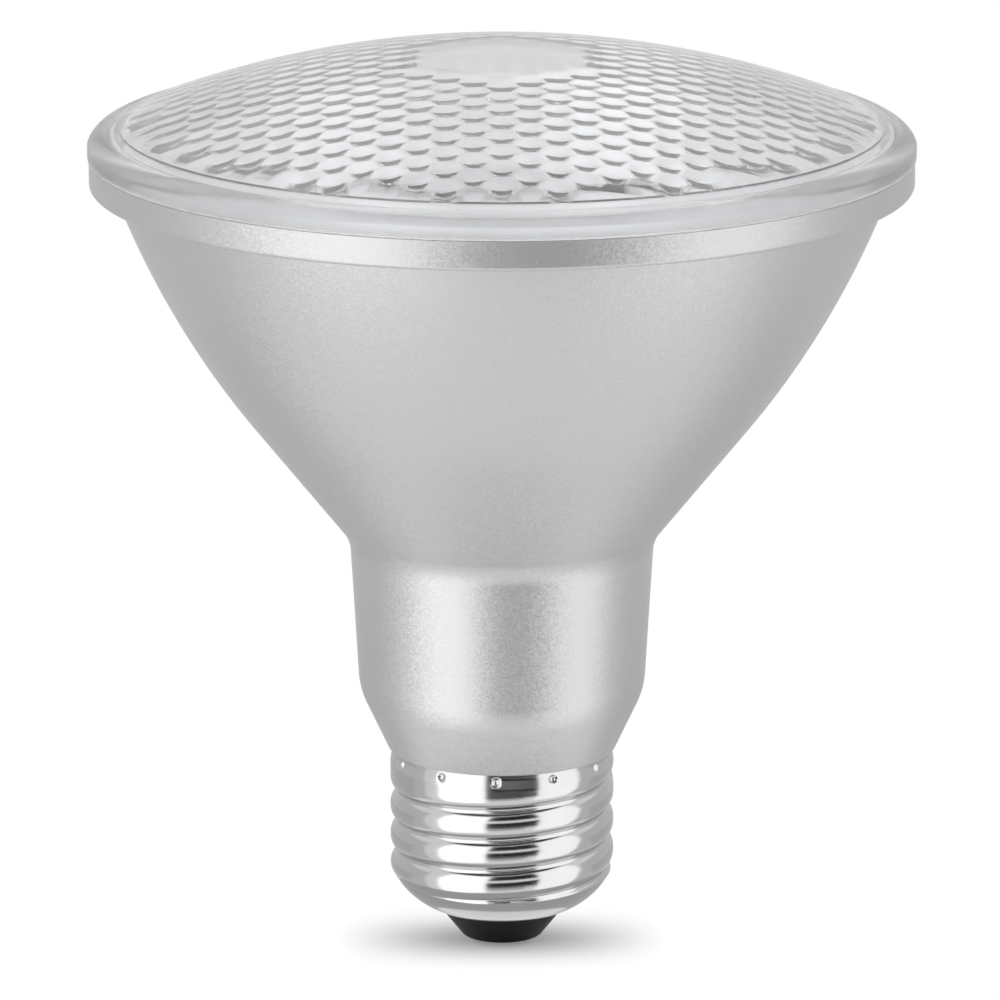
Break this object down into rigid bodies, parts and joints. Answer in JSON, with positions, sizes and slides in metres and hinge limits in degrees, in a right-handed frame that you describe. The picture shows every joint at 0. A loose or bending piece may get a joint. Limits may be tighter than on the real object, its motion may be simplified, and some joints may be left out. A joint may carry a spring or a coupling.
{
  "type": "par spotlight bulb",
  "caption": "Reflector spotlight bulb with a domed honeycomb lens, a silver bowl and neck, and a medium screw base.",
  "frame": {"origin": "tip of the centre contact, on the lamp's axis", "axes": "+Z along the lamp's axis from the base to the lens; -Y faces the viewer of the picture and +X is to the right"},
  "size_m": [0.095, 0.095, 0.1067],
  "materials": {
    "insulator_black": "gloss",
    "screw_steel": "plain",
    "package_black": "matte",
    "contact_metal": "tinned, dull",
    "board_green": "satin",
    "can_sleeve": "satin",
    "film_yellow": "satin",
    "fuse_body": "satin",
    "sink_aluminium": "satin",
    "silver_paint": "satin metallic paint on a moulded body",
    "board_white": "matte white solder mask",
    "led_phosphor": "satin",
    "lens_clear": "clear, gloss",
    "seal_rubber": "matte",
    "live_sleeve": "satin",
    "neutral_sleeve": "satin",
    "pin_brass": "bright",
    "socket_white": "satin",
    "reflector_bright": "bright vacuum coat",
    "shell_nickel": "bright nickel",
    "ferrite_dark": "matte",
    "winding_tape": "satin"
  },
  "bodies": {
    "root": {"base_insulator": "insulator_black", "board_screws": "screw_steel", "bridge_rectifier": "package_black", "centre_contact": "contact_metal", "driver_board": "board_green", "driver_chip": "package_black", "electrolytic_capacitor": "can_sleeve", "film_capacitor": "film_yellow", "fuse_resistor": "fuse_body", "heat_sink": "sink_aluminium", "housing": "silver_paint", "led_board": "board_white", "leds": "led_phosphor", "lens": "lens_clear", "lens_seal": "seal_rubber", "live_lead": "live_sleeve", "neutral_lead": "neutral_sleeve", "output_pins": "pin_brass", "pin_socket": "socket_white", "reflector": "reflector_bright", "screw_shell": "shell_nickel", "transformer_core": "ferrite_dark", "transformer_winding": "winding_tape"}
  },
  "joints": []
}
